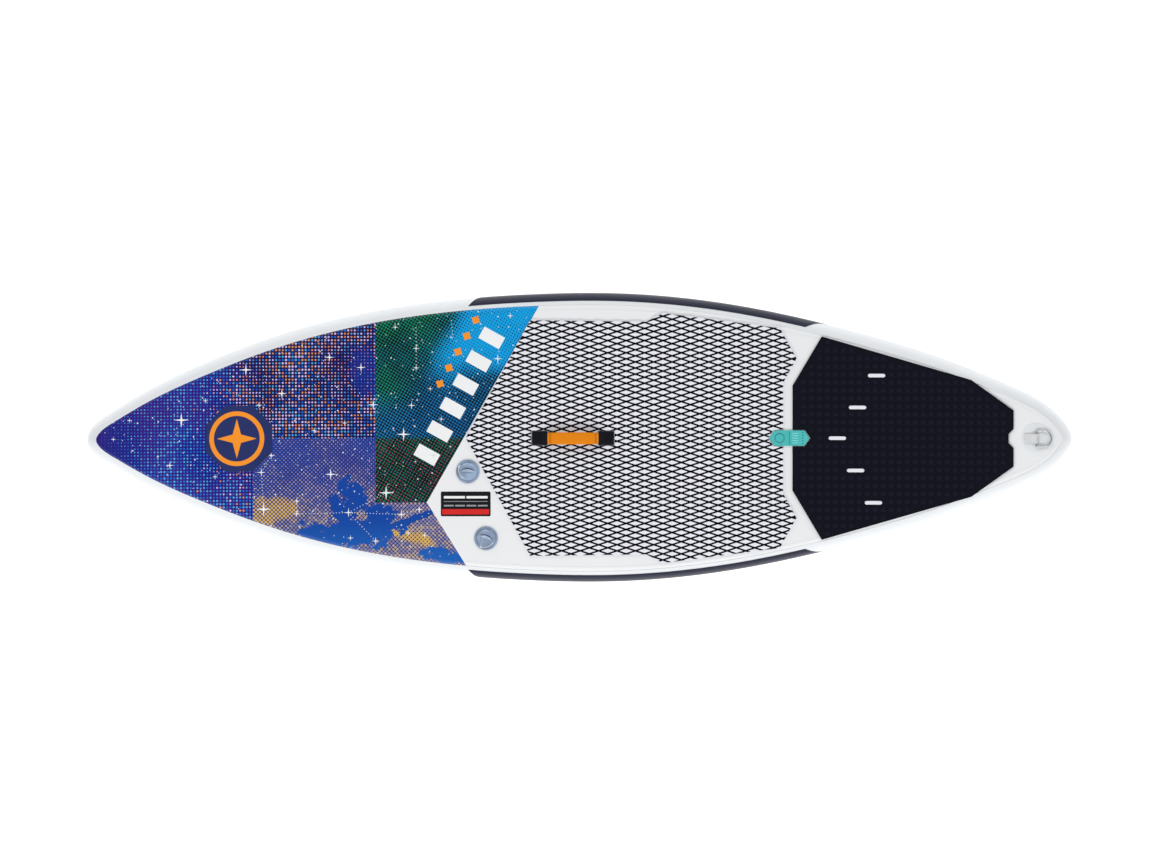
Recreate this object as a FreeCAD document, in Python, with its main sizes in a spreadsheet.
"""Inflatable surf board with two air chambers, traction pads, carry handle, leash ring and fins.

Frame: +X runs from nose to tail, +Y to the rider's right, +Z up.  The origin lies under the
middle of the board, level with the tip of the centre fin.  All lengths are in millimetres.
"""
import FreeCAD, Part
import math
import os
import re
import Sketcher
from FreeCAD import Placement, Rotation, Vector

SIZES = {
    # whole board
    "board_thickness": 120, "hull_level": 195.787, "flat_start": -340, "flat_end": 350,
    "nose_tip": -1295, "tail_tip": 1295, "nose_lift": 170, "tail_lift": 55,
    "nose_power": 2.2, "tail_power": 2.0,
    "skin": 1.5, "rail_depth": 40, "nose_rail_depth": 34, "rail_layers": 1.4, "glue_gap": 0.2,
    "tape_thickness": 1.0, "tape_angle": 17.5, "band_thickness": 0.4, "band_angle": 32.5,
    "band_low_angle": 122, "band_start": -290, "band_end": 630,
    "chamber_inset": 150, "chamber_sheet": 1.2, "yarn_pitch": 70, "yarn_radius": 0.75,
    # deck furniture
    "pad_thickness": 5, "label_thickness": 0.3, "tag_thickness": 4,
    "slot_length": 48, "slot_width": 11.5,
    "handle_x": -19, "anchor_length": 40, "anchor_width": 36, "anchor_thickness": 8,
    "anchor_offset": 88, "anchor_gap": 2, "strap_width": 30, "strap_thickness": 2,
    "strap_height": 24, "strap_root_height": 5, "sleeve_length": 135, "sleeve_width": 32,
    "sleeve_thickness": 11, "strap_clearance": 0.3,
    # inflation valves
    "outer_valve_x": -248, "outer_valve_y": -264, "inner_valve_x": -296, "inner_valve_y": -88,
    "flange_radius": 31, "flange_low": 0.8, "flange_top": 4.4, "rim_radius": 24.6,
    "recess_floor": 1.4, "plug_bore": 20.3, "barrel_radius": 23, "barrel_hole": 23.3,
    "plug_depth": 3, "port_radius": 13.5, "port_depth": 12, "air_radius": 17.5,
    "seat_radius": 11.5, "seat_top": 30, "barrel_depth": 33, "stem_radius": 2.5,
    "hub_bore": 2.6, "hub_radius": 5.2, "hub_low": 27, "hub_high": 24, "spoke_width": 3,
    "button_radius": 5, "button_top": 12.6, "button_low": 14.4, "seal_radius": 14.2,
    "seal_low": 34.2, "seal_high": 33.05, "disc_low": 36.2, "disc_high": 34.3,
    "spring_radius": 3.8, "spring_wire": 0.4, "spring_turns": 4,
    "nut_radius": 31, "nut_bore": 23.1, "nut_thickness": 8, "nut_notch": 8,
    "cap_radius": 24, "cap_neck": 22, "cap_low": 1.6, "cap_lip": 2.5, "cap_shelf": 3.8,
    "cap_top": 4.8, "plug_radius": 19.3, "plug_low": 2.2, "seal_ring_radius": 0.9,
    "bar_length": 38, "bar_width": 5, "bar_top": 10, "tether_bore": 22.2, "tether_low": 2.65,
    "tether_top": 3.65, "tether_reach": 28.8, "tether_width": 8, "notch_width": 9,
    # leash ring
    "leash_x": 1200, "patch_radius": 41, "patch_thickness": 1.5, "ring_wire": 2.2,
    "ring_half_width": 20.5, "ring_leg": 19.5, "ring_height": 6.2, "loop_width": 25,
    "loop_reach": 32, "loop_thickness": 1.4,
    # fin box and fins
    "box_x": 985, "box_length": 284, "box_width": 34, "box_height": 26, "base_length": 310,
    "base_width": 74, "base_thickness": 3, "fin_patch_length": 360, "fin_patch_width": 130,
    "fin_slot_length": 252, "fin_slot_width": 9.9, "fin_slot_depth": 22.5,
    "groove_width": 17, "groove_low": 10, "groove_high": 15, "drop_width": 16.6,
    "drop_length": 14, "tab_length": 130, "tab_width": 9.4, "tab_height": 21,
    "fin_depth": 195, "fin_base_chord": 150, "fin_rake": 78, "fin_thickness": 9.2,
    "pin_radius": 2.3, "pin_length": 15.6, "pin_setback": 56, "plate_side": 14,
    "plate_height": 3.2, "screw_radius": 2, "screw_head_radius": 3.8, "screw_setback": 56,
    "screw_head_height": 2.2, "side_fin_x": 905, "side_fin_y": 168, "side_fin_depth": 108,
    "side_fin_chord": 104, "side_fin_rake": 46, "side_fin_thickness": 6.4, "side_toe": 3,
    "side_base_length": 132, "side_base_width": 46, "side_base_thickness": 3,
}

# Half of the board's outline, from the nose tip to the tail tip.
OUTLINE = (
    (-1295, 0), (-1279, 36), (-1237, 68), (-1158, 116), (-1000, 193), (-764, 280),
    (-448, 349), (-130, 377), (100, 379.6), (419, 347), (735, 276), (971, 203), (1129, 139),
    (1240, 79), (1281, 35), (1295, 0),
)

# Half outlines of the flat layers, from the front of the board to its back.
HALF_LAYERS = {
    "traction_pad": ((-302, 0), (-132, 311), (174, 307), (218, 330), (526, 290), (570, 210),
                     (535, 146), (535, 22), (510, 22), (495, 0)),
    "tail_pad": ((606, 0), (591, 22), (559, 22), (559, 138), (636, 268), (1029, 154),
                 (1140, 74), (1140, 25), (1127, 12), (1127, 0)),
    "marker_tag": ((498, 0), (511.5, 20), (589.5, 20), (603, 0)),
}
LABEL_CORNERS = ((-367, -206), (-236, -206), (-236, -141), (-367, -141))
TAIL_SLOTS = ((780, 165), (730, 81), (677, 0), (725, -85), (772, -170))

doc = FreeCAD.newDocument("inflatable_surf_board")
sheet = doc.addObject("Spreadsheet::Sheet", "Sizes")
nodes = []


def add_cell(alias, value):
    """Add one named number to the sheet."""
    row = add_cell.next_row
    sheet.set(f"A{row}", alias)
    sheet.set(f"B{row}", str(value))
    sheet.setAlias(f"B{row}", alias)
    add_cell.next_row = row + 1


add_cell.next_row = 1
for alias, value in SIZES.items():
    add_cell(alias, value)
for layer_name, corners in HALF_LAYERS.items():
    for number, (x, y) in enumerate(corners):
        add_cell(f"{layer_name}_{number}_along", x)
        add_cell(f"{layer_name}_{number}_across", y)
for number, (x, y) in enumerate(LABEL_CORNERS):
    add_cell(f"spec_label_{number}_along", x)
    add_cell(f"spec_label_{number}_across", y)
for number, (x, y) in enumerate(TAIL_SLOTS):
    add_cell(f"tail_slot_{number}_along", x)
    add_cell(f"tail_slot_{number}_across", y)
doc.recompute()


def size(alias):
    """The sheet's number under this name."""
    return float(getattr(sheet, alias))


def bound(expression):
    """An expression with its plain names turned into references to the sheet."""
    return re.sub(r"\b[a-z][a-z_0-9]{3,}\b", lambda found: "Sizes." + found.group(0),
                  str(expression))


def bind(target, **properties):
    """Bind an object's properties to expressions of sheet names."""
    for name, expression in properties.items():
        target.setExpression(name.replace("__", "."), bound(expression))


def bind_place(target, x="0", y="0", z="0"):
    """Bind an object's place to expressions of sheet names."""
    bind(target, Placement__Base__x=x, Placement__Base__y=y, Placement__Base__z=z)


def keep(target, node_name):
    """Name a sub-part and list it for export."""
    target.Label = node_name
    nodes.append(target)
    return target


# ---------------------------------------------------------------- sketches and features

def origin_plane(body, role):
    """One of a body's own origin planes."""
    return next(item for item in body.Origin.OriginFeatures if item.Role == role)


def polygon_sketch(sketch, corners):
    """Draw a closed polygon whose corners are bound to expressions of sheet names."""
    expressions = [(bound(along), bound(across)) for along, across in corners]
    values = []
    for along, across in expressions:
        values.append(Vector(float(sketch.evalExpression(along)),
                             float(sketch.evalExpression(across)), 0))
    count = len(values)
    first = sketch.GeometryCount
    for number in range(count):
        sketch.addGeometry(Part.LineSegment(values[number], values[(number + 1) % count]), False)
    for number in range(count):
        sketch.addConstraint(Sketcher.Constraint(
            "Coincident", first + number, 2, first + (number + 1) % count, 1))
    for number in range(count):
        for kind, expression, value in (("DistanceX", expressions[number][0], values[number].x),
                                        ("DistanceY", expressions[number][1], values[number].y)):
            index = sketch.addConstraint(
                Sketcher.Constraint(kind, -1, 1, first + number, 1, value))
            if value:
                sketch.setExpression(f"Constraints[{index}]", expression)
    return sketch


def circle_sketch(sketch, radius, along="0", across="0"):
    """Draw a circle bound to expressions of sheet names."""
    index = sketch.GeometryCount
    values = [float(sketch.evalExpression(bound(item))) for item in (along, across, radius)]
    sketch.addGeometry(Part.Circle(Vector(values[0], values[1], 0), Vector(0, 0, 1), values[2]),
                       False)
    for kind, expression, value in (("DistanceX", along, values[0]),
                                    ("DistanceY", across, values[1])):
        row = sketch.addConstraint(Sketcher.Constraint(kind, -1, 1, index, 3, value))
        if value:
            sketch.setExpression(f"Constraints[{row}]", bound(expression))
    row = sketch.addConstraint(Sketcher.Constraint("Radius", index, values[2]))
    sketch.setExpression(f"Constraints[{row}]", bound(radius))
    return sketch


def body_sketch(body, role, height=None):
    """A sketch on one of the body's origin planes, at a bound height above it."""
    sketch = body.newObject("Sketcher::SketchObject", "Sketch")
    sketch.AttachmentSupport = [(origin_plane(body, role), "")]
    sketch.MapMode = "FlatFace"
    if height is not None:
        sketch.setExpression("AttachmentOffset.Base.z", bound(height))
    return sketch


def new_body(node_name):
    """A kept body with its own label."""
    return keep(doc.addObject("PartDesign::Body", "Body"), node_name)


def revolve(body, corners):
    """Revolve a closed half profile of (radius, height) about the body's Z axis."""
    sketch = polygon_sketch(body_sketch(body, "XZ_Plane"), corners)
    feature = body.newObject("PartDesign::Revolution", "Revolution")
    feature.Profile = sketch
    feature.ReferenceAxis = (sketch, ["V_Axis"])
    feature.Angle = 360
    doc.recompute()
    return feature


def pad(body, sketch, length):
    """Pad a sketch upwards by a bound length."""
    feature = body.newObject("PartDesign::Pad", "Pad")
    feature.Profile = sketch
    feature.setExpression("Length", bound(length))
    doc.recompute()
    return feature


def pocket(body, sketch, length):
    """Cut a sketch upwards into the solid by a bound length."""
    before = body.Shape.Volume
    feature = body.newObject("PartDesign::Pocket", "Pocket")
    feature.Profile = sketch
    feature.Reversed = True
    feature.setExpression("Length", bound(length))
    doc.recompute()
    if body.Shape.Volume >= before:
        raise ValueError(f"a pocket of {body.Label} cuts nothing")
    return feature


def around(body, feature, count):
    """Repeat a feature evenly about the body's Z axis."""
    pattern = body.newObject("PartDesign::PolarPattern", "Pattern")
    pattern.Originals = [feature]
    pattern.Axis = (feature.Profile[0], ["N_Axis"])
    pattern.Angle = 360
    pattern.Occurrences = count
    body.Tip = pattern
    doc.recompute()
    return pattern


def rectangle(length, width, middle="0", middle_across="0"):
    """Corners of a rectangle about a point, as expressions."""
    return [(f"{middle} - ({length}) / 2", f"{middle_across} - ({width}) / 2"),
            (f"{middle} + ({length}) / 2", f"{middle_across} - ({width}) / 2"),
            (f"{middle} + ({length}) / 2", f"{middle_across} + ({width}) / 2"),
            (f"{middle} - ({length}) / 2", f"{middle_across} + ({width}) / 2")]


# ---------------------------------------------------------------- the board's own surfaces

THICKNESS = size("board_thickness")
HULL = size("hull_level")
DECK = HULL + THICKNESS
MIDDLE = HULL + THICKNESS / 2
GAP = size("glue_gap")
SKIN = size("skin")


def rocker(x):
    """Height of the board's curve above its flat middle."""
    if x < size("flat_start"):
        reach = size("flat_start") - size("nose_tip")
        return size("nose_lift") * ((size("flat_start") - x) / reach) ** size("nose_power")
    if x > size("flat_end"):
        reach = size("tail_tip") - size("flat_end")
        return size("tail_lift") * ((x - size("flat_end")) / reach) ** size("tail_power")
    return 0.0


def rocker_slope(x):
    """Angle of the board's curve at x, in degrees, positive where it climbs towards +X."""
    step = 1.0
    return math.degrees(math.atan2(rocker(x + step) - rocker(x - step), 2 * step))


def spline(points, tangents=None):
    """A spline through these points, with unit tangents at its ends where they are given."""
    curve = Part.BSplineCurve()
    if tangents is None:
        curve.interpolate(Points=points)
    else:
        curve.interpolate(Points=points, InitialTangent=tangents[0], FinalTangent=tangents[1],
                          Scale=False)
    return curve


def rocker_edges(level):
    """The board's curve at this level above the flat middle: nose curve, line, tail curve."""
    overhang = 25
    stations = 12
    edges = []
    for start, end in ((size("nose_tip") - overhang, size("flat_start")),
                       (size("flat_end"), size("tail_tip") + overhang)):
        points = []
        for step in range(stations + 1):
            x = start + (end - start) * step / stations
            points.append(Vector(x, 0, level + rocker(x)))
        slopes = [math.radians(rocker_slope(x)) for x in (start, end)]
        tangents = [Vector(math.cos(slope), 0, math.sin(slope)) for slope in slopes]
        edges.append(spline(points, tangents).toShape())
    line = Part.LineSegment(Vector(size("flat_start"), 0, level),
                            Vector(size("flat_end"), 0, level)).toShape()
    return [edges[0], line, edges[1]]


def slab(low, high):
    """The space between two levels of the board's curve, as wide as the board."""
    below = Part.Wire(rocker_edges(low))
    above = Part.Wire(rocker_edges(high))
    front = Part.LineSegment(below.OrderedVertexes[0].Point, above.OrderedVertexes[0].Point)
    back = Part.LineSegment(below.OrderedVertexes[-1].Point, above.OrderedVertexes[-1].Point)
    wire = Part.Wire(Part.__sortEdges__(
        below.Edges + above.Edges + [front.toShape(), back.toShape()]))
    half_width = 400
    face = Part.Face(wire)
    face.translate(Vector(0, -half_width, 0))
    return face.extrude(Vector(0, 2 * half_width, 0))


def rail_depth(x):
    """How far the round rail reaches in from the outline at x."""
    blend_length = 350
    from_tip = min(x - size("nose_tip"), size("tail_tip") - x)
    share = min(max(from_tip / blend_length, 0.0), 1.0)
    smooth = share * share * (3 - 2 * share)
    return size("nose_rail_depth") + (size("rail_depth") - size("nose_rail_depth")) * smooth


TIP_TANGENTS = (Vector(0, 1, 0), Vector(0, -1, 0))
outline = spline([Vector(x, y, 0) for x, y in OUTLINE], TIP_TANGENTS)


def outline_stations(count, start=None, end=None):
    """Points on the half outline with their outward normals, closer together at the tips."""
    low = outline.FirstParameter if start is None else outline.parameter(start)
    high = outline.LastParameter if end is None else outline.parameter(end)
    stations = []
    for step in range(count + 1):
        share = step / count
        if start is None:
            share = (1 - math.cos(math.pi * share)) / 2
        parameter = low + (high - low) * share
        point = outline.value(parameter)
        tangent = Vector(*outline.tangent(parameter)[0])
        normal = Vector(-tangent.y, tangent.x, 0)
        if step == 0 and start is None:
            normal = Vector(-1, 0, 0)
        if step == count and end is None:
            normal = Vector(1, 0, 0)
        stations.append((point, normal))
    return stations


def inset_point(point, normal, inset):
    """A point this far inside the outline."""
    return point - normal * inset


def planform(extra_inset):
    """Face at z = 0 of the deck's flat part, shrunk by an extra inset."""
    stations = 60
    points = []
    for point, normal in outline_stations(stations):
        inset = size("rail_layers") + rail_depth(point.x) + extra_inset
        points.append(inset_point(point, normal, inset))
    points[0].y = 0
    points[-1].y = 0
    half = spline(points, TIP_TANGENTS).toShape()
    other = half.mirror(Vector(0, 0, 0), Vector(0, 1, 0))
    return Part.Face(Part.Wire(Part.__sortEdges__([half, other])))


def prism(face):
    """A tall upright prism on a face at z = 0."""
    tall = 700
    return face.extrude(Vector(0, 0, tall))


def rail_shell(side, layer_low, layer_high, first_angle, last_angle, start=None, end=None):
    """A layer of the round rail between two offsets and two angles about its section.

    Angles run from 0 at the deck's edge to 180 at the hull's edge; side is +1 or -1.
    """
    angle_steps = 16
    count = 64 if start is None else 24
    stations = outline_stations(count, start, end)
    surfaces = []
    for offset in (layer_low, layer_high):
        rows = []
        for point, normal in stations:
            depth = rail_depth(point.x)
            row = []
            for step in range(angle_steps + 1):
                angle = math.radians(first_angle + (last_angle - first_angle) * step / angle_steps)
                inset = size("rail_layers") + depth - (depth + offset) * math.sin(angle)
                place = inset_point(point, normal, inset)
                height = MIDDLE + rocker(place.x)
                height += (THICKNESS / 2 + offset) * math.cos(angle)
                row.append(Vector(place.x, place.y * side, height))
            rows.append(row)
        surface = Part.BSplineSurface()
        surface.interpolate(rows)
        surfaces.append(surface)
    faces = [surface.toShape() for surface in surfaces]
    u_low, u_high, v_low, v_high = surfaces[0].bounds()
    for iso, parameters in (("uIso", (u_low, u_high)), ("vIso", (v_low, v_high))):
        for parameter in parameters:
            edges = [getattr(surface, iso)(parameter).toShape() for surface in surfaces]
            faces.append(Part.makeRuledSurface(edges[0], edges[1]))
    shell = Part.makeShell(faces)
    shell.sewShape()
    solid = Part.makeSolid(shell)
    if solid.Volume < 0:
        solid.reverse()
    return solid


def feature(name, shape):
    """A document object with a computed shape, moved into its geometry so it is placed at zero."""
    item = doc.addObject("Part::Feature", name)
    settled = shape.copy()
    move = settled.Placement.toMatrix()
    settled.Placement = Placement()
    settled.transformShape(move, True)
    item.Shape = settled
    return item


def cut(name, base, tool):
    """One object minus another."""
    item = doc.addObject("Part::Cut", name)
    item.Base = base
    item.Tool = tool
    doc.recompute()
    return item


def common(name, base, tool):
    """What two objects share."""
    item = doc.addObject("Part::Common", name)
    item.Base = base
    item.Tool = tool
    doc.recompute()
    return item


def fused(name, parts):
    """Several objects as one."""
    item = doc.addObject("Part::MultiFuse", name)
    item.Shapes = parts
    doc.recompute()
    return item


def cylinder(name, radius, height, x="0", y="0", z="0"):
    """An upright cylinder bound to expressions of sheet names."""
    item = doc.addObject("Part::Cylinder", name)
    bind(item, Radius=radius, Height=height)
    bind_place(item, x, y, z)
    return item


def block(name, length, width, height, x="0", y="0", z="0"):
    """A box bound to expressions, centred on x and y and standing on z."""
    item = doc.addObject("Part::Box", name)
    bind(item, Length=length, Width=width, Height=height)
    bind_place(item, f"{x} - ({length}) / 2", f"{y} - ({width}) / 2", z)
    return item


VALVES = ("outer", "inner")


def barrel_holes(name):
    """Tool that opens the deck for both valve barrels."""
    holes = []
    for valve in VALVES:
        holes.append(cylinder(f"{valve}_hole", "barrel_hole", "60", f"{valve}_valve_x",
                              f"{valve}_valve_y", "hull_level + board_thickness - 40"))
    return fused(name, holes)


def part_deck(deck):
    """Keep the deck in three lengths, parted where its flat stretch begins and ends."""
    for name, low, high in (("deck_panel_front", "nose_tip - 10", "flat_start"),
                            ("deck_panel_middle", "flat_start", "flat_end"),
                            ("deck_panel_rear", "flat_end", "tail_tip + 10")):
        room = block(f"{name}_room", f"({high}) - ({low})", "2 * tail_tip", "tail_tip",
                     f"(({low}) + ({high})) / 2")
        keep(common(name, deck, room), name)


def build_skins():
    """Deck and hull panels, sidewalls, rail tapes and rail bands."""
    deck_face = planform(GAP)
    deck_blank = feature("deck_blank", prism(deck_face).common(slab(DECK - SKIN, DECK)))
    part_deck(cut("deck_sheet", deck_blank, barrel_holes("deck_holes")))
    hull = feature("hull_panel", prism(deck_face).common(slab(HULL, HULL + SKIN)))
    keep(hull, "hull_panel")
    tape = size("tape_thickness")
    band_low = GAP + tape + GAP
    for side, name in ((1, "right"), (-1, "left")):
        wall = rail_shell(side, -SKIN, 0, 0, 180)
        keep(feature("sidewall", wall), f"sidewall_{name}")
        angle = size("tape_angle")
        layer = rail_shell(side, GAP, GAP + tape, angle, 180 - angle)
        keep(feature("rail_tape", layer), f"rail_tape_{name}")
        stripe = rail_shell(side, band_low, band_low + size("band_thickness"),
                            size("band_angle"), size("band_low_angle"),
                            outline_point(size("band_start")), outline_point(size("band_end")))
        keep(feature("rail_band", stripe), f"rail_band_{name}")


def outline_point(x):
    """The point of the half outline at x, found by halving the curve."""
    low = outline.FirstParameter
    high = outline.LastParameter
    halvings = 40
    for _ in range(halvings):
        middle = (low + high) / 2
        if outline.value(middle).x < x:
            low = middle
        else:
            high = middle
    return outline.value(middle)


def chamber_face(inset):
    """Face at z = 0 of the inner air chamber, this far inside the board's outline."""
    rim = Part.Face(Part.Wire(Part.__sortEdges__(
        [outline.toShape(), outline.toShape().mirror(Vector(0, 0, 0), Vector(0, 1, 0))])))
    return Part.Face(rim.makeOffset2D(-inset).OuterWire)


def build_chambers():
    """The sealed inner chamber and the yarns that hold deck and hull apart."""
    sheet_thickness = size("chamber_sheet")
    low = HULL + SKIN + GAP
    high = DECK - SKIN - GAP
    inset = size("chamber_inset")
    outside = prism(chamber_face(inset)).common(slab(low, high))
    inside = prism(chamber_face(inset + sheet_thickness)).common(
        slab(low + sheet_thickness, high - sheet_thickness))
    blank = feature("chamber_blank", outside.cut(inside))
    hole = cylinder("chamber_hole", "barrel_hole", "60", "inner_valve_x", "inner_valve_y",
                    "hull_level + board_thickness - 40")
    keep(cut("inner_chamber", blank, hole), "inner_chamber")

    rim = [point for point, normal in outline_stations(200)]
    pitch = size("yarn_pitch")
    radius = size("yarn_radius")
    clear_of_valves = 45
    clear_of_walls = 14
    yarns = {"inner": [], "outer": []}
    for column in range(-18, 19):
        for row in range(-5, 6):
            x = column * pitch
            y = row * pitch + pitch / 2 * (column % 2)
            spot = Vector(x, abs(y), 0)
            depth_inside = min(spot.distanceToPoint(point) for point in rim)
            valve_distance = min(math.hypot(x - size(f"{valve}_valve_x"),
                                            y - size(f"{valve}_valve_y")) for valve in VALVES)
            within = abs(y) < half_width_at(x)
            if not within or valve_distance < clear_of_valves:
                continue
            slope_room = 2 * radius * abs(math.tan(math.radians(rocker_slope(x))))
            room = SKIN + 2 * GAP + slope_room
            if depth_inside > inset + clear_of_walls:
                kind = "inner"
                room += sheet_thickness
            elif size("rail_depth") + clear_of_walls < depth_inside < inset - clear_of_walls:
                kind = "outer"
            else:
                continue
            base = Vector(x, y, HULL + rocker(x) + room)
            yarns[kind].append(Part.makeCylinder(radius, THICKNESS - 2 * room, base))
    for kind, solids in yarns.items():
        keep(feature("yarns", Part.makeCompound(solids)), f"{kind}_drop_stitch_yarns")


def half_width_at(x):
    """Half the board's width at x, or zero beyond its ends."""
    margin = 5
    if not size("nose_tip") + margin < x < size("tail_tip") - margin:
        return 0.0
    return outline_point(x).y


# ---------------------------------------------------------------- layers that lie on the deck

def mirrored_corners(name):
    """Corners of a symmetric layer as sheet names, all the way round."""
    half = HALF_LAYERS[name]
    last = len(half) - 1
    corners = []
    for number, (x, y) in enumerate(half):
        corners.append((f"{name}_{number}_along", f"{name}_{number}_across"))
    for number in range(last - 1, 0, -1):
        corners.append((f"{name}_{number}_along", f"-{name}_{number}_across"))
    return corners


def deck_layer(name, corners, low, thickness):
    """A flat layer that follows the deck, from a sketch of its outline."""
    sketch = doc.addObject("Sketcher::SketchObject", f"{name}_outline")
    polygon_sketch(sketch, corners)
    column = doc.addObject("Part::Extrusion", f"{name}_column")
    column.Base = sketch
    column.DirMode = "Normal"
    column.LengthFwd = 700
    column.Solid = True
    shell = feature(f"{name}_slab", slab(DECK + low, DECK + low + thickness))
    return common(name, column, shell)


def build_deck_layers():
    """Both traction pads, the marker tag and the label."""
    pad_thickness = size("pad_thickness")
    middle = deck_layer("middle_pad_blank", mirrored_corners("traction_pad"), GAP, pad_thickness)
    openings = []
    for number, sign in enumerate(("-", "+")):
        openings.append(block(f"anchor_opening_{number}", "anchor_length + 2 * anchor_gap",
                              "anchor_width + 2 * anchor_gap", "20",
                              f"handle_x {sign} anchor_offset", "0",
                              "hull_level + board_thickness - 5"))
    keep(cut("traction_pad", middle, fused("anchor_openings", openings)), "traction_pad")

    tail = deck_layer("tail_pad_blank", mirrored_corners("tail_pad"), GAP, pad_thickness)
    slots = []
    for number in range(len(TAIL_SLOTS)):
        along = f"tail_slot_{number}_along"
        across = f"tail_slot_{number}_across"
        slots.append(block(f"slot_{number}", "slot_length - slot_width", "slot_width", "60",
                           along, across, "hull_level + board_thickness - 20"))
        for end, sign in enumerate(("-", "+")):
            slots.append(cylinder(f"slot_{number}_end_{end}", "slot_width / 2", "60",
                                  f"{along} {sign} (slot_length - slot_width) / 2", across,
                                  "hull_level + board_thickness - 20"))
    keep(cut("tail_pad", tail, fused("tail_slots", slots)), "tail_pad")

    tag = deck_layer("marker_tag", mirrored_corners("marker_tag"), GAP, size("tag_thickness"))
    keep(tag, "marker_tag")
    corners = [(f"spec_label_{number}_along", f"spec_label_{number}_across")
               for number in range(len(LABEL_CORNERS))]
    keep(deck_layer("spec_label", corners, GAP, size("label_thickness")), "spec_label")


# ---------------------------------------------------------------- carry handle

def build_handle():
    """Two anchors on the deck, a webbing strap between them and a sleeve round its middle."""
    for sign, name in (("-", "front"), ("+", "rear")):
        anchor = new_body(f"handle_anchor_{name}")
        sketch = polygon_sketch(body_sketch(anchor, "XY_Plane"),
                                rectangle("anchor_length", "anchor_width"))
        pad(anchor, sketch, "anchor_thickness")
        slot = polygon_sketch(body_sketch(anchor, "XY_Plane", "strap_root_height"),
                              strap_slot(sign))
        pocket(anchor, slot, "strap_thickness + 2 * strap_clearance")
        bind_place(anchor, f"handle_x {sign} anchor_offset", "0",
                   "hull_level + board_thickness + glue_gap")

    strap = new_body("handle_strap")
    low = "strap_root_height + strap_clearance"
    run = "anchor_offset - anchor_length / 2"
    tucked = "anchor_length / 2"
    flat = "sleeve_length / 2"
    half = [(f"-({run} + {tucked})", low), (f"-({run})", low), (f"-({flat})", "strap_height")]
    upper = [(along, f"{height} + strap_thickness") for along, height in half]
    mirror = [(along[1:], height) for along, height in reversed(half)]
    upper_mirror = [(along[1:], f"{height} + strap_thickness") for along, height in
                    reversed(half)]
    sketch = polygon_sketch(body_sketch(strap, "XZ_Plane"),
                            half + mirror + list(reversed(upper_mirror)) + list(reversed(upper)))
    centred_pad(strap, sketch, "strap_width")
    bind_place(strap, "handle_x", "0", "hull_level + board_thickness + glue_gap")

    sleeve = new_body("handle_sleeve")
    sketch = body_sketch(sleeve, "YZ_Plane")
    polygon_sketch(sketch, sleeve_section("sleeve_width", "sleeve_thickness"))
    polygon_sketch(sketch, rectangle("strap_width + 2 * strap_clearance",
                                     "strap_thickness + 2 * strap_clearance"))
    centred_pad(sleeve, sketch, "sleeve_length")
    bind_place(sleeve, "handle_x", "0",
               "hull_level + board_thickness + glue_gap + strap_height + strap_thickness / 2")


def strap_slot(sign):
    """Plan of the slot in an anchor that takes the tucked end of the strap."""
    width = "strap_width + 2 * strap_clearance"
    if sign == "-":
        return rectangle("anchor_length / 2 + 1", width, "anchor_length / 4 + 0.5")
    return rectangle("anchor_length / 2 + 1", width, "-(anchor_length / 4 + 0.5)")


def sleeve_section(width, thickness):
    """Eight-sided section of a soft sleeve."""
    corner = 3.5
    half_width = f"({width}) / 2"
    half_thickness = f"({thickness}) / 2"
    corners = []
    for across, up in ((1, 1), (-1, 1), (-1, -1), (1, -1)):
        wide = (f"{across} * {half_width}", f"{up} * ({half_thickness} - {corner})")
        tall = (f"{across} * ({half_width} - {corner})", f"{up} * {half_thickness}")
        corners += [wide, tall] if across == up else [tall, wide]
    return corners


def centred_pad(body, sketch, length):
    """Pad a sketch by half the bound length to each side."""
    item = body.newObject("PartDesign::Pad", "Pad")
    item.Profile = sketch
    item.Midplane = True
    item.setExpression("Length", bound(length))
    doc.recompute()
    return item


# ---------------------------------------------------------------- inflation valves

def place_valve_part(part, valve, turn=0):
    """Put a part modelled about the valve's own axis into the deck."""
    part.Placement = Placement(Vector(0, 0, 0), Rotation(Vector(0, 0, 1), turn))
    bind_place(part, f"{valve}_valve_x", f"{valve}_valve_y", "hull_level + board_thickness")


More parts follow.
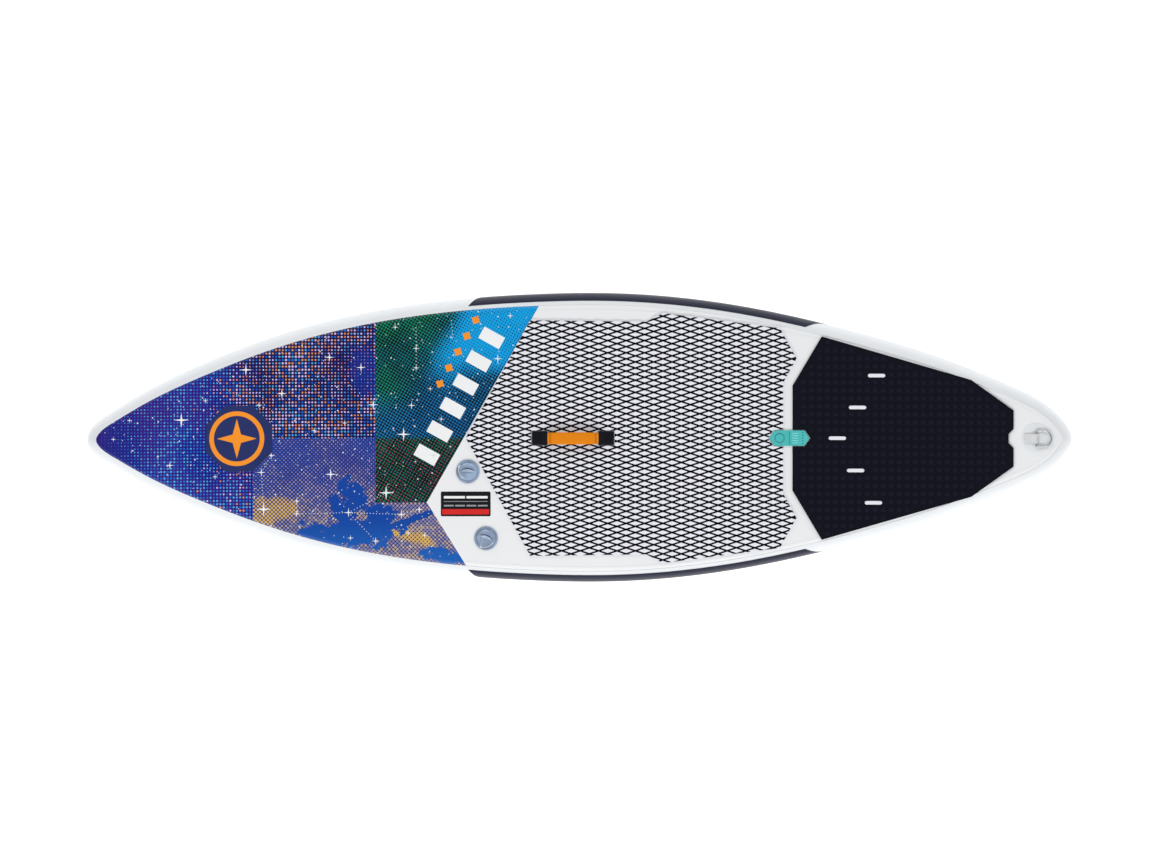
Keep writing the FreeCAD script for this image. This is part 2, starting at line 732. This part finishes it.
def build_valve(valve, tether_turn, clamp_depth):
    """One inflation valve; its clamp depth is how much sheet the lock nut holds."""
    body = new_body(f"{valve}_valve_body")
    revolve(body, [
        ("plug_bore", "recess_floor"), ("rim_radius", "recess_floor"),
        ("rim_radius", "flange_top"), ("flange_radius - 2.4", "flange_top"),
        ("flange_radius", "flange_low + 1.4"), ("flange_radius", "flange_low"),
        ("barrel_radius", "flange_low"), ("barrel_radius", "-barrel_depth"),
        ("seat_radius", "-barrel_depth"), ("seat_radius", "-seat_top"),
        ("air_radius", "-seat_top"), ("air_radius", "-port_depth"),
        ("port_radius", "-port_depth"), ("port_radius", "-plug_depth"),
        ("plug_bore", "-plug_depth")])
    spoke = polygon_sketch(body_sketch(body, "XY_Plane", "-hub_low"),
                           rectangle("air_radius - hub_bore - 1", "spoke_width",
                                     "(air_radius + hub_bore) / 2 + 1"))
    around(body, pad(body, spoke, "hub_low - hub_high"), 3)
    revolve(body, [("hub_bore", "-hub_low"), ("hub_radius", "-hub_low"),
                   ("hub_radius", "-hub_high"), ("hub_bore", "-hub_high")])
    notch = polygon_sketch(body_sketch(body, "XY_Plane", "tether_low - 0.4"),
                           rectangle("flange_radius - rim_radius + 3", "notch_width",
                                     "(flange_radius + rim_radius) / 2 + 0.5"))
    pocket(body, notch, "4")
    place_valve_part(body, valve, tether_turn)

    gasket = new_body(f"{valve}_valve_gasket")
    revolve(gasket, [("barrel_hole", "0.05"), ("flange_radius - 1.5", "0.05"),
                     ("flange_radius - 1.5", "flange_low - 0.05"),
                     ("barrel_hole", "flange_low - 0.05")])
    place_valve_part(gasket, valve)

    nut = new_body(f"{valve}_valve_lock_nut")
    revolve(nut, [("nut_bore", f"-({clamp_depth} + nut_thickness)"),
                  ("nut_radius", f"-({clamp_depth} + nut_thickness)"),
                  ("nut_radius", f"-({clamp_depth})"), ("nut_bore", f"-({clamp_depth})")])
    grip = polygon_sketch(body_sketch(nut, "XY_Plane", f"-({clamp_depth} + nut_thickness)"),
                          rectangle("5", "nut_notch", "nut_radius"))
    around(nut, pocket(nut, grip, "nut_thickness"), 6)
    place_valve_part(nut, valve)

    stem = new_body(f"{valve}_valve_stem")
    revolve(stem, [("0", "-button_top"), ("0", "-disc_low"), ("seal_radius - 0.4", "-disc_low"),
                   ("seal_radius - 0.4", "-disc_high"), ("stem_radius", "-disc_high"),
                   ("stem_radius", "-button_low"), ("button_radius", "-button_low"),
                   ("button_radius", "-button_top - 0.5"), ("button_radius - 0.5", "-button_top")])
    place_valve_part(stem, valve)

    seal = new_body(f"{valve}_valve_stem_seal")
    revolve(seal, [("stem_radius + 0.05", "-seal_low"), ("seal_radius", "-seal_low"),
                   ("seal_radius", "-seal_high"), ("stem_radius + 0.05", "-seal_high")])
    place_valve_part(seal, valve)

    keep(feature("spring", spring_shape()), f"{valve}_valve_spring")
    nodes[-1].Placement = Placement(
        Vector(size(f"{valve}_valve_x"), size(f"{valve}_valve_y"), DECK), Rotation())

    cap = new_body(f"{valve}_valve_cap")
    revolve(cap, [("0", "-plug_low"), ("plug_radius - 0.6", "-plug_low"),
                  ("plug_radius", "-plug_low + 0.6"), ("plug_radius", "-0.95"),
                  ("plug_radius - 1.1", "-0.95"), ("plug_radius - 1.1", "0.95"),
                  ("plug_radius", "0.95"), ("plug_radius", "cap_low"),
                  ("cap_radius", "cap_low"), ("cap_radius", "cap_lip"), ("cap_neck", "cap_lip"),
                  ("cap_neck", "cap_shelf"), ("cap_radius", "cap_shelf"),
                  ("cap_radius", "cap_top - 0.5"), ("cap_radius - 0.5", "cap_top"),
                  ("0", "cap_top")])
    bar = polygon_sketch(body_sketch(cap, "XY_Plane", "cap_top - 0.5"),
                         rectangle("bar_length", "bar_width"))
    pad(cap, bar, "bar_top - cap_top + 0.5")
    place_valve_part(cap, valve, tether_turn + 60)

    ring = doc.addObject("Part::Torus", "cap_seal")
    bind(ring, Radius1="plug_radius - 0.2", Radius2="seal_ring_radius - 0.05")
    keep(ring, f"{valve}_valve_cap_seal")
    bind_place(ring, f"{valve}_valve_x", f"{valve}_valve_y", "hull_level + board_thickness")

    tether = new_body(f"{valve}_valve_cap_tether")
    revolve(tether, [("tether_bore", "tether_low"), ("cap_radius", "tether_low"),
                     ("cap_radius", "tether_top"), ("tether_bore", "tether_top")])
    tab = polygon_sketch(body_sketch(tether, "XY_Plane", "tether_low"),
                         rectangle("tether_reach - cap_radius + 1", "tether_width",
                                   "(tether_reach + cap_radius - 1) / 2"))
    pad(tether, tab, "tether_top - tether_low")
    place_valve_part(tether, valve, tether_turn)


def spring_shape():
    """Faceted coil spring between the valve's hub and the stem's button."""
    wire = size("spring_wire")
    low = -size("hub_high") + wire + 0.05
    high = -size("button_low") - wire - 0.05
    sides = 6
    steps = int(12 * size("spring_turns"))
    rings = []
    for step in range(steps + 1):
        turn = 2 * math.pi * size("spring_turns") * step / steps
        height = low + (high - low) * step / steps
        ring = []
        for side in range(sides):
            around_wire = 2 * math.pi * side / sides
            reach = size("spring_radius") + wire * math.cos(around_wire)
            ring.append(Vector(reach * math.cos(turn), reach * math.sin(turn),
                               height + wire * math.sin(around_wire)))
        rings.append(ring)
    corners = []
    for ring, after in zip(rings, rings[1:]):
        for side in range(sides):
            other = (side + 1) % sides
            corners.append((ring[side], after[side], after[other]))
            corners.append((ring[side], after[other], ring[other]))
    faces = [triangle(points) for points in corners]
    faces.append(Part.Face(Part.makePolygon(rings[0] + rings[0][:1])))
    faces.append(Part.Face(Part.makePolygon(rings[-1] + rings[-1][:1])))
    shell = Part.makeShell(faces)
    shell.sewShape()
    solid = Part.makeSolid(shell)
    if solid.Volume < 0:
        solid.reverse()
    return solid


def triangle(points):
    """A flat three-sided face."""
    return Part.Face(Part.makePolygon([points[0], points[1], points[2], points[0]]))


# ---------------------------------------------------------------- leash ring at the tail

def tilted_place(x, height, y=0.0, spin=0.0):
    """Place on the deck (or hull) at x, turned to lie along the board's curve there."""
    tilt = Rotation(Vector(0, 1, 0), -rocker_slope(x))
    return Placement(Vector(x, y, height + rocker(x)), tilt.multiply(
        Rotation(Vector(0, 0, 1), spin)))


def build_leash_ring():
    """Round patch, folded webbing loop and D-ring."""
    place = tilted_place(size("leash_x"), DECK + GAP)
    patch = new_body("d_ring_patch")
    pad(patch, circle_sketch(body_sketch(patch, "XY_Plane"), "patch_radius"), "patch_thickness")
    patch.Placement = place

    ring_parts = []
    arc = doc.addObject("Part::Torus", "ring_arc")
    bind(arc, Radius1="ring_half_width", Radius2="ring_wire", Angle3="180")
    arc.Placement = Placement(Vector(0, 0, 0), Rotation(Vector(0, 0, 1), -90))
    bind(arc, Placement__Base__x="ring_leg")
    ring_parts.append(arc)
    along_x = Rotation(Vector(0, 1, 0), 90)
    along_y = Rotation(Vector(1, 0, 0), -90)
    for sign in ("-", ""):
        leg = doc.addObject("Part::Cylinder", "ring_leg")
        bind(leg, Radius="ring_wire", Height="ring_leg")
        leg.Placement = Placement(Vector(0, 0, 0), along_x)
        bind(leg, Placement__Base__y=f"{sign}ring_half_width")
        corner = doc.addObject("Part::Sphere", "ring_corner")
        bind(corner, Radius="ring_wire", Placement__Base__y=f"{sign}ring_half_width")
        ring_parts += [leg, corner]
    bar = doc.addObject("Part::Cylinder", "ring_bar")
    bind(bar, Radius="ring_wire", Height="2 * ring_half_width")
    bar.Placement = Placement(Vector(0, 0, 0), along_y)
    bind(bar, Placement__Base__y="-ring_half_width")
    ring_parts.append(bar)
    ring = keep(fused("d_ring", ring_parts), "d_ring")
    ring.Placement = place.multiply(Placement(Vector(0, 0, size("ring_height")), Rotation()))

    loop = keep(feature("d_ring_loop", loop_shape()), "d_ring_loop")
    loop.Placement = place


def loop_shape():
    """Webbing that lies on the patch, wraps the ring's straight bar and comes back."""
    thickness = size("loop_thickness")
    base = size("patch_thickness") + GAP
    bar_height = size("ring_height")
    inner = size("ring_wire") + 0.3
    outer = bar_height - base
    reach = size("loop_reach")
    join = 2 * outer + 4
    top_left = base + 2 * thickness + GAP
    outside = Part.Wire([
        Part.LineSegment(Vector(-reach, 0, base), Vector(0, 0, base)).toShape(),
        Part.Arc(Vector(0, 0, base), Vector(outer, 0, bar_height),
                 Vector(0, 0, bar_height + outer)).toShape(),
        Part.LineSegment(Vector(0, 0, bar_height + outer), Vector(-join, 0, top_left)).toShape(),
        Part.LineSegment(Vector(-join, 0, top_left), Vector(-reach, 0, top_left)).toShape(),
        Part.LineSegment(Vector(-reach, 0, top_left), Vector(-reach, 0, base)).toShape()])
    width = size("loop_width")
    solid = Part.Face(outside).extrude(Vector(0, width, 0))
    eye = Part.makeCylinder(inner, width, Vector(0, 0, bar_height), Vector(0, 1, 0))
    solid = solid.cut(eye)
    solid.translate(Vector(0, -width / 2, 0))
    return solid


# ---------------------------------------------------------------- fins

def foil_wire(chord, thickness, lead, depth):
    """Symmetric fin section, rounded in front and thin behind, at a depth below the root."""
    steps = 8
    nose_share = 0.3
    upper = []
    for step in range(steps + 1):
        share = (step / steps) ** 1.6
        if share < nose_share:
            half = math.sqrt(1 - (1 - share / nose_share) ** 2)
        else:
            half = math.cos(math.pi / 2 * (share - nose_share) / (1 - nose_share)) ** 0.9
        half = max(half, 0.08 if step else 0.0)
        upper.append(Vector(lead + chord * share, half * thickness / 2, -depth))
    lower = [Vector(point.x, -point.y, point.z) for point in upper]
    edges = [spline(upper).toShape(), spline(lower).toShape(),
             Part.LineSegment(upper[-1], lower[-1]).toShape()]
    return Part.Wire(Part.__sortEdges__(edges))


def fin_blade(depth, chord, rake, thickness):
    """Swept fin blade that hangs from z = 0, its chord centred on x = 0."""
    sections = 7
    wires = []
    for step in range(sections):
        share = step / (sections - 1) * 0.97
        local_chord = chord * (1 - share ** 2.4 * 0.86) * (1 - 0.22 * share)
        lead = -chord / 2 + rake * share ** 1.35 + chord * 0.16 * share
        local_thickness = thickness * (1 - 0.72 * share)
        wires.append(foil_wire(local_chord, local_thickness, lead, depth * share / 0.97))
    return Part.makeLoft(wires, True)


def build_fin_box():
    """Patch, slotted box and the centre fin with its pin, plate and screw."""
    x = size("box_x")
    place = tilted_place(x, HULL - 1.6)
    fin_patch = doc.addObject("Sketcher::SketchObject", "fin_patch_outline")
    polygon_sketch(fin_patch, rectangle("fin_patch_length", "fin_patch_width", "box_x"))
    column = doc.addObject("Part::Extrusion", "fin_patch_column")
    column.Base = fin_patch
    column.DirMode = "Normal"
    column.LengthFwd = 700
    column.Solid = True
    layer = feature("fin_patch_slab", slab(HULL - GAP - 1, HULL - GAP))
    keep(common("fin_box_patch", column, layer), "fin_box_patch")

    box = new_body("fin_box")
    base = polygon_sketch(body_sketch(box, "XY_Plane", "-base_thickness"),
                          rectangle("base_length", "base_width"))
    pad(box, base, "base_thickness")
    channel = polygon_sketch(body_sketch(box, "XY_Plane", "-box_height"),
                             rectangle("box_length", "box_width"))
    pad(box, channel, "box_height")
    slot = polygon_sketch(body_sketch(box, "XY_Plane", "-box_height"),
                          rectangle("fin_slot_length", "fin_slot_width"))
    pocket(box, slot, "fin_slot_depth")
    groove = polygon_sketch(body_sketch(box, "XY_Plane", "-groove_high"),
                            rectangle("fin_slot_length", "groove_width"))
    pocket(box, groove, "groove_high - groove_low")
    drop = polygon_sketch(body_sketch(box, "XY_Plane", "-box_height"),
                          rectangle("drop_length", "drop_width"))
    pocket(box, drop, "box_height - groove_low")
    box.Placement = place

    depth = size("fin_depth")
    blade = fin_blade(depth, size("fin_base_chord"), size("fin_rake"), size("fin_thickness"))
    blade.translate(Vector(0, 0, -size("box_height") - 0.5))
    tab = Part.makeBox(size("tab_length"), size("tab_width"), size("tab_height") + 1.5)
    tab.translate(Vector(-size("tab_length") / 2, -size("tab_width") / 2,
                         -size("box_height") - 1.5))
    level = -(size("groove_low") + size("groove_high")) / 2
    pin_hole = Part.makeCylinder(size("pin_radius") + 0.05, 20,
                                 Vector(size("pin_setback"), -10, level), Vector(0, 1, 0))
    plate = size("plate_side")
    plate_high = size("plate_height")
    screw_x = -size("screw_setback")
    plate_room = Part.makeBox(plate + 8, 20, plate_high + 12)
    plate_room.translate(Vector(screw_x - plate / 2 - 4, -10, level - plate_high / 2 - 0.6))
    shaft_room = Part.makeCylinder(size("screw_radius") + 0.1, 60,
                                   Vector(screw_x, 0, -size("box_height") - 20))
    head_room = Part.makeCylinder(size("screw_head_radius") + 0.5, 30,
                                  Vector(screw_x, 0, -size("box_height") - 30.55))
    fin = blade.fuse(tab).cut(pin_hole).cut(plate_room)
    front_room = Part.makeBox(26, 30, 60)
    front_room.translate(Vector(screw_x - 13 - 6, -15, -size("box_height") - 60.5))
    fin = fin.cut(front_room).cut(shaft_room).cut(head_room)
    keep(feature("center_fin", fin.removeSplitter()), "center_fin").Placement = place

    pin = doc.addObject("Part::Cylinder", "fin_pin")
    bind(pin, Radius="pin_radius", Height="pin_length")
    keep(pin, "fin_pin").Placement = place.multiply(Placement(
        Vector(size("pin_setback"), -size("pin_length") / 2, level),
        Rotation(Vector(1, 0, 0), -90)))

    plate_shape = Part.makeBox(plate, plate, plate_high)
    plate_shape.translate(Vector(screw_x - plate / 2, -plate / 2, level - plate_high / 2))
    plate_shape = plate_shape.cut(Part.makeCylinder(
        size("screw_radius") + 0.05, 60, Vector(screw_x, 0, -size("box_height") - 20)))
    keep(feature("fin_plate", plate_shape), "fin_plate").Placement = place

    screw = new_body("fin_screw")
    reach = "box_height - (groove_low + groove_high) / 2 + plate_height"
    revolve(screw, [("0", "-screw_head_height"), ("screw_head_radius", "-screw_head_height"),
                    ("screw_head_radius", "0"), ("screw_radius", "0"), ("screw_radius", reach),
                    ("0", reach)])
    slot = polygon_sketch(body_sketch(screw, "XY_Plane", "-screw_head_height"),
                          rectangle("2 * screw_head_radius + 2", "1.1"))
    pocket(screw, slot, "1.2")
    screw.Placement = place.multiply(Placement(
        Vector(screw_x, 0, -size("box_height") - 0.6), Rotation()))


def build_side_fins():
    """Welded base and fin on each side of the centre fin."""
    x = size("side_fin_x")
    for side, name in ((1, "right"), (-1, "left")):
        place = tilted_place(x, HULL - 0.6, side * size("side_fin_y"), -side * size("side_toe"))
        base = new_body(f"side_fin_base_{name}")
        sketch = polygon_sketch(body_sketch(base, "XY_Plane", "-side_base_thickness"),
                                rectangle("side_base_length", "side_base_width"))
        pad(base, sketch, "side_base_thickness")
        base.Placement = place
        blade = fin_blade(size("side_fin_depth"), size("side_fin_chord"), size("side_fin_rake"),
                          size("side_fin_thickness"))
        blade.translate(Vector(0, 0, -size("side_base_thickness") - 0.1))
        keep(feature("side_fin", blade), f"side_fin_{name}").Placement = place


# ---------------------------------------------------------------- build, check and write

build_skins()
build_chambers()
build_deck_layers()
build_handle()
build_valve("outer", -120, "skin + glue_gap")
build_valve("inner", 150, "skin + 2 * glue_gap + chamber_sheet")
build_leash_ring()
build_fin_box()
build_side_fins()
doc.recompute()

for item in doc.Objects:
    if "Invalid" in item.State or "Error" in item.State:
        raise ValueError(f"{item.Label} failed: {item.State}")
for node in nodes:
    if node.Shape.isNull() or not node.Shape.isValid() or not node.Shape.Solids:
        raise ValueError(f"{node.Label} has no valid solid")

os.makedirs("parts", exist_ok=True)
for node in nodes:
    node.Shape.exportStep(f"parts/{node.Label}.step")
print(len(nodes), "nodes written")
